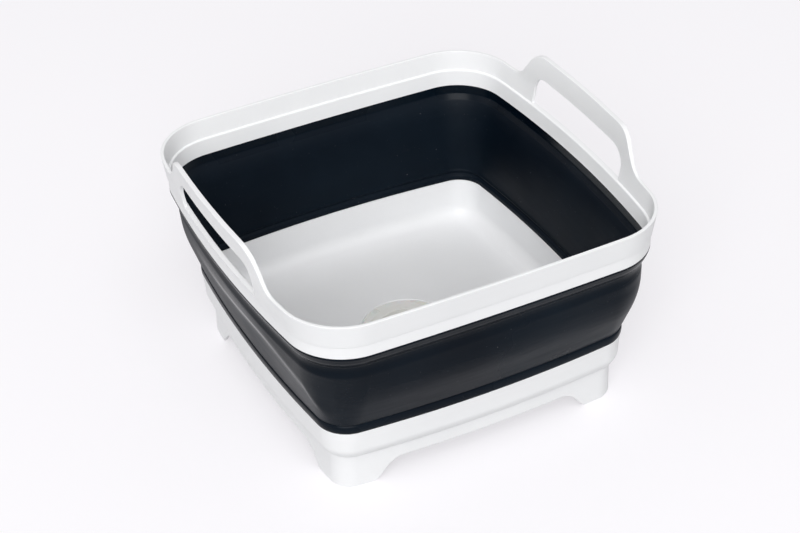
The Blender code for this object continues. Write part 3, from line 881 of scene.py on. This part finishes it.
drain_points = [
    (39.6, FLOOR_TOP), (39.2, BEAD_HEIGHT), (38.0, BEAD_HEIGHT),
    (SEAT_RADIUS, 27.2), (SEAT_RADIUS, SEAT_HEIGHT), (HOLE_RADIUS, SEAT_HEIGHT), (HOLE_RADIUS, BOSS_LOW),
    (BOSS_RADIUS, BOSS_LOW), (BOSS_RADIUS, FLOOR_UNDER),
]
drain_rounds = {1: (0.5, 4), 2: (0.5, 4), 4: (0.3, 2), 5: (0.4, 3), 6: (0.4, 2), 7: (0.4, 2)}
join(tray, spin_section(drain_points, drain_rounds, closed=False))
for level in (FLOOR_TOP, FLOOR_UNDER):
    edges = [
        edge for edge in tray.edges
        if edge.is_boundary and all(abs(vert.co.z - level * MM) < LEVEL_SLACK * MM for vert in edge.verts)
    ]
    bmesh.ops.bridge_loops(tray, edges=edges)
    print("bridged", len(edges), "edges at", level, "mm")
bmesh.ops.recalc_face_normals(tray, faces=tray.faces)
softened = round_edges(tray, STAND_ROUNDING, 2, on_stand)
print("base: softened", softened, "edges of the stand")

# %% [markdown]
# Ribs under the floor
#
# A thin floor full of water needs stiffening, so ribs run from the boss to the skirt like spokes. They
# could be drawn one by one, but they differ only in their turn and their length, so a loop makes them. Each
# is a long box whose free edges are rounded, set a little into the floor.

# %% Add the ribs and finish the base
RIB_COUNT = 8
RIB_WIDTH = 1.8
RIB_DEPTH = 4.5
RIB_SINK = 0.6
RIB_BITE = 1.0
RIB_ROUNDING = 0.4
RIB_END = SKIRT_INSIDE + 0.4


def add_rib(bm, turn):
    """Adds one rib, turned about the drain."""
    start = BOSS_RADIUS - RIB_BITE
    flat = (BASE_CORE[0] + BASE_CORE[2] + RIB_END) / max(abs(math.cos(turn)), abs(math.sin(turn)))
    end = min(flat, BASE_CORE[0] * math.sqrt(2) + RIB_END)
    made = bmesh.ops.create_cube(bm, size=1.0)
    size = Matrix.Diagonal((end - start, RIB_WIDTH, RIB_DEPTH + RIB_SINK, 1.0))
    place = Matrix.Translation(((start + end) / 2, 0, FLOOR_UNDER + (RIB_SINK - RIB_DEPTH) / 2))
    turned = Matrix.Scale(MM, 4) @ Matrix.Rotation(turn, 4, "Z")
    bmesh.ops.transform(bm, matrix=turned @ place @ size, verts=made["verts"])
    low = min(vert.co.z for vert in made["verts"])
    edges = {edge for vert in made["verts"] for edge in vert.link_edges}
    free = [edge for edge in edges if all(vert.co.z < low + 0.1 * MM for vert in edge.verts)]
    bevel_edges(bm, free, RIB_ROUNDING, 2)


for rib in range(RIB_COUNT):
    add_rib(tray, 2 * math.pi * rib / RIB_COUNT)
tray_piece = make_piece("basin_and_feet", tray, white)
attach(tray_piece, "base")
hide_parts("base_tray")

# %% [markdown]
# The plug
#
# The plug is a turned white cap with a dished top and a bar across it to pull on. A slotted skirt below it
# strains the water when the plug is lifted. Twelve Boolean cuts could open the skirt, but it is done as for
# the hand slots: faces go out of both skins, and a bridge joins the holes.

# %% Turn the plug and open its strainer
CAP_RADIUS = 29.8
CAP_UNDER = 28.1
CAP_TOP = 29.6
PLUG_RADIUS = 24.7
PLUG_INSIDE = 23.0
DISH = 24.6
PLUG_LOW = 7.5
STRAINER_LOW = 10.5
STRAINER_TOP = 22.8
SLOT_COUNT = 12
HALF_BAR = 0.19
SKIRT_FROM = 22
plug_points = [
    (0.0, DISH), (PLUG_INSIDE, DISH), (PLUG_INSIDE, CAP_TOP), (CAP_RADIUS, CAP_TOP),
    (CAP_RADIUS, CAP_UNDER), (PLUG_RADIUS, CAP_UNDER), (PLUG_RADIUS, STRAINER_TOP),
    (PLUG_RADIUS, STRAINER_LOW), (PLUG_RADIUS, PLUG_LOW), (PLUG_INSIDE, PLUG_LOW),
    (PLUG_INSIDE, STRAINER_LOW), (PLUG_INSIDE, STRAINER_TOP), (0.0, STRAINER_TOP),
]
plug_rounds = {1: (1.2, 5), 2: (0.5, 3), 3: (0.6, 4), 4: (0.3, 2), 8: (0.3, 2), 9: (0.3, 2)}
plug = spin_section(plug_points, plug_rounds, closed=False)
bmesh.ops.remove_doubles(plug, verts=plug.verts, dist=WELD * MM)


def slot_number(spot):
    """Which strainer slot a point lies in, or None for a bar."""
    turn = math.atan2(spot.y, spot.x) % (2 * math.pi)
    period, place = divmod(turn * SLOT_COUNT / (2 * math.pi), 1.0)
    return int(period) if HALF_BAR < place < 1 - HALF_BAR else None


def on_skirt(spot):
    """Whether a point lies on the strainer's stretch of the skirt."""
    in_height = (STRAINER_LOW - SLACK) * MM < spot.z < (STRAINER_TOP + SLACK) * MM
    return in_height and spot.xy.length > SKIRT_FROM * MM


upright = [face for face in plug.faces if abs(face.normal.z) < 0.5]
gone = [
    face for face in upright
    if all(on_skirt(vert.co) for vert in face.verts) and slot_number(face.calc_center_median()) is not None
]
bmesh.ops.delete(plug, geom=gone, context="FACES")
for number in range(SLOT_COUNT):
    edges = []
    for edge in plug.edges:
        middle = (edge.verts[0].co + edge.verts[1].co) / 2
        if edge.is_boundary and slot_number(middle) == number:
            edges.append(edge)
    bmesh.ops.bridge_loops(plug, edges=edges)
print("plug: opened", len(gone), "faces for", SLOT_COUNT, "slots")

# %% [markdown]
# The pull bar
#
# The bar stands in the dish, higher in the middle so that two fingers can grip it. It could be modelled as
# a rounded slab in a 2D curve, but a box is quicker: it is cut into short lengths, its top is lowered
# towards both ends, and its upper edges are rounded.

# %% Add the pull bar and finish the plug
BAR_LOW = 23.4
BAR_WIDTH = 4.0
BAR_DROP = 0.5
BAR_BITE = 1.4
BAR_CUTS = 23
BAR_SLOPE = 1.5
BAR_ROUNDING = 0.9
SLOPE_FROM = 0.4
SLOPE_SHARE = 0.25


def add_pull(bm):
    """Adds the bar to the plug's dish, and says how many edges were rounded."""
    bar = bmesh.new()
    bmesh.ops.create_cube(bar, size=1.0)
    height = CAP_TOP - BAR_DROP - BAR_LOW
    middle = BAR_LOW + height / 2
    size = Matrix.Diagonal((2 * PLUG_INSIDE + BAR_BITE, BAR_WIDTH, height, 1.0))
    place = Matrix.Translation((0, 0, middle))
    bmesh.ops.transform(bar, matrix=Matrix.Scale(MM, 4) @ place @ size, verts=bar.verts)
    long_edges = [edge for edge in bar.edges if edge.calc_length() > PLUG_INSIDE * MM]
    bmesh.ops.subdivide_edges(bar, edges=long_edges, cuts=BAR_CUTS)
    for vert in bar.verts:
        if vert.co.z > middle * MM:
            outward = (abs(vert.co.x) / MM / PLUG_INSIDE - SLOPE_FROM) / SLOPE_SHARE
            vert.co.z -= BAR_SLOPE * MM * ease(outward)
    bmesh.ops.recalc_face_normals(bar, faces=bar.faces)
    softened = round_edges(
        bar, BAR_ROUNDING, 4, lambda edge: min(vert.co.z for vert in edge.verts) > middle * MM
    )
    join(bm, bar)
    return softened


bmesh.ops.recalc_face_normals(plug, faces=plug.faces)
softened = add_pull(plug)
print("pull bar: softened", softened, "edges")
plug_piece = make_piece("plug_and_strainer", plug, warm_white)
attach(plug_piece, "plug")
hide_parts("drain_plug")

# %% [markdown]
# Seal and catch ring
#
# The seal is a flat ring under the cap, a little thicker where it stands out past it. The catch ring clips
# round the plug's foot and stops it from coming right out. Both could start as a torus, but a turned
# section gives their flats and edges at once.

# %% Turn the seal and the catch ring
seal_points = [
    (25.0, 27.8), (30.1, 27.8), (30.7, 28.3), (35.9, 28.3),
    (36.7, 27.9), (37.0, 27.0), (36.6, 26.3), (25.0, 26.3),
]
seal = spin_section(seal_points, {2: (0.3, 2), 3: (0.4, 3), 4: (0.4, 3), 5: (0.3, 2)})
seal_piece = make_piece("plug_gasket", seal, milky)
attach(seal_piece, "plug")
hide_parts("plug_seal")

catch_points = [(25.0, 9.1), (28.0, 9.1), (28.0, 7.2), (26.7, 5.9), (23.3, 5.9), (23.3, 7.2), (25.0, 7.2)]
catch = spin_section(catch_points, {0: (0.3, 2), 1: (0.5, 3), 2: (0.5, 3), 3: (0.5, 3), 4: (0.3, 2)})
catch_piece = make_piece("plug_catch", catch, white)
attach(catch_piece, "plug")
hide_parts("catch_ring")

# %% [markdown]
# Floor and sky
#
# The photograph shows the sink on seamless white. Strong lamps on a white backdrop would give that too, but
# they would wash out the white plastic. So the floor and the sky are bright only for the camera, for
# reflections and for clear plastic. What really lights the sink stays at a plain level, at which a colour
# renders about as it is written, and the floor keeps the sink's shadow.

# %% Lay the floor and hang the sky
SKY_PALE = (0.945, 0.932, 0.975, 1.0)
SKY_STRENGTH = 0.45
FLOOR_PALE = (0.985, 0.970, 1.0, 1.0)
FLOOR_SHADE = (0.52, 0.52, 0.53, 1.0)
FLOOR_GLOW = 0.55
FLOOR_HALF = 30.0
LIGHT_WHITE = (1.0, 1.0, 1.0, 1.0)


def seen_directly(owner):
    """1 for what the camera, a reflection or clear plastic shows, and 0 for what lights the sink."""
    path = add_node(owner, "ShaderNodeLightPath", {})
    total = path.outputs["Is Camera Ray"]
    for name in ("Is Glossy Ray", "Is Transmission Ray"):
        either = {0: total, 1: path.outputs[name]}
        total = add_node(owner, "ShaderNodeMath", either, operation="MAXIMUM").outputs[0]
    return total


def studio_floor():
    """A wide pale floor, part lit and part glowing to the camera."""
    bm = bmesh.new()
    bmesh.ops.create_grid(bm, x_segments=1, y_segments=1, size=FLOOR_HALF)
    mesh = bpy.data.meshes.new("studio_floor")
    bm.to_mesh(mesh)
    bm.free()
    floor = add_object("studio_floor", mesh)
    material, shader, _ = new_finish("pale_floor")
    seen = seen_directly(material)
    tones = {"Fac": seen, "Color1": FLOOR_SHADE, "Color2": FLOOR_PALE}
    colour = add_node(material, "ShaderNodeMixRGB", tones).outputs["Color"]
    put(material, shader, {"Base Color": colour, "Roughness": 0.9, "Specular IOR Level": 0.0})
    glow = add_node(material, "ShaderNodeEmission", {"Color": FLOOR_PALE, "Strength": 1.0})
    share = add_node(material, "ShaderNodeMath", {0: seen, 1: FLOOR_GLOW}, operation="MULTIPLY")
    parts = {0: share.outputs[0], 1: shader.outputs[0], 2: glow.outputs[0]}
    mix = add_node(material, "ShaderNodeMixShader", parts)
    put(material, material.node_tree.nodes["Material Output"], {"Surface": mix.outputs[0]})
    mesh.materials.append(material)


def studio_sky():
    """An even sky that lights softly and looks pale."""
    world = bpy.data.worlds.new("studio_sky")
    bpy.context.scene.world = world
    world.use_nodes = True
    light = world.node_tree.nodes["Background"]
    put(world, light, {"Color": LIGHT_WHITE, "Strength": SKY_STRENGTH})
    pale = add_node(world, "ShaderNodeBackground", {"Color": SKY_PALE})
    parts = {0: seen_directly(world), 1: light.outputs[0], 2: pale.outputs[0]}
    mix = add_node(world, "ShaderNodeMixShader", parts)
    put(world, world.node_tree.nodes["World Output"], {"Surface": mix.outputs[0]})


studio_floor()
studio_sky()
print("floor and sky: the sky lights at", SKY_STRENGTH)

# %% [markdown]
# The lamps
#
# The photograph looks lit by one large soft light from the front left. A sun lamp would draw hard shadows
# and sharp glints on the rubber, so the lamps here are soft rectangles. The key lamp does nearly all the
# work, a small one high in front brightens what looks up, and a faint one at the left picks out the left
# panel.

# %% Place the lamps
# Each lamp's azimuth, elevation and distance, where it looks, its size, and its power in watts
LAMPS = {
    "key_softbox": ((-32, 32, 9.0), (0, 0, 0.12), (6.2, 4.8), 505.0),
    "high_softbox": ((-16, 62, 2.4), (0, 0, 0.1), (1.2, 1.2), 14.0),
    "left_softbox": ((-95, 22, 2.0), (0, 0, 0.1), (1.2, 1.0), 2.4),
}


def away_from_sink(azimuth, elevation, distance):
    """A place round the sink. Azimuth 0 is the front and -90 the left."""
    turn, lift = math.radians(azimuth), math.radians(elevation)
    return (
        distance * math.sin(turn) * math.cos(lift), -distance * math.cos(turn) * math.cos(lift),
        distance * math.sin(lift),
    )


def softbox(name, place, aim, size, power):
    """A soft rectangular lamp that the camera doesn't see."""
    lamp = bpy.data.lights.new(name, "AREA")
    lamp.shape = "RECTANGLE"
    lamp.size, lamp.size_y = size
    lamp.energy = power
    stand = add_object(name, lamp)
    stand.location = place
    stand.rotation_euler = (Vector(aim) - Vector(place)).to_track_quat("-Z", "Y").to_euler()
    stand.visible_camera = False


for name, (direction, aim, size, power) in LAMPS.items():
    softbox(name, away_from_sink(*direction), aim, size, power)
bpy.context.scene.view_settings.view_transform = "Standard"
print("lamps:", sorted(LAMPS))

# %% [markdown]
# The camera
#
# The photograph was taken from the front left, looking down at about 36 degrees, with a long lens. A Track
# To constraint could aim the camera, but it can't give the slight roll. So its three axes are worked out
# from azimuth, elevation and roll, whose values come from fitting the rim, the crease and the feet to the
# picture.

# %% Place the camera
CAMERA_PLACE = Vector((-0.60645, -1.21099, 1.06521))
AZIMUTH = math.radians(-26.41)
ELEVATION = math.radians(35.81)
ROLL = math.radians(-1.74)
FOCAL_LENGTH = 96.79
SENSOR_WIDTH = 36.0

lens = bpy.data.cameras.new("camera")
lens.lens = FOCAL_LENGTH
lens.sensor_width = SENSOR_WIDTH
lens.sensor_fit = "HORIZONTAL"
camera = add_object("camera", lens)
ahead = Vector((
    -math.sin(AZIMUTH) * math.cos(ELEVATION), math.cos(AZIMUTH) * math.cos(ELEVATION), -math.sin(ELEVATION)
))
level_right = Vector((math.cos(AZIMUTH), math.sin(AZIMUTH), 0.0))
straight_up = level_right.cross(ahead)
right = level_right * math.cos(ROLL) + straight_up * math.sin(ROLL)
up = straight_up * math.cos(ROLL) - level_right * math.sin(ROLL)
turned = Matrix((right, up, -ahead)).transposed().to_4x4()
camera.matrix_world = Matrix.Translation(CAMERA_PLACE) @ turned
bpy.context.scene.camera = camera
print("camera at", [round(part, 3) for part in camera.matrix_world.translation])
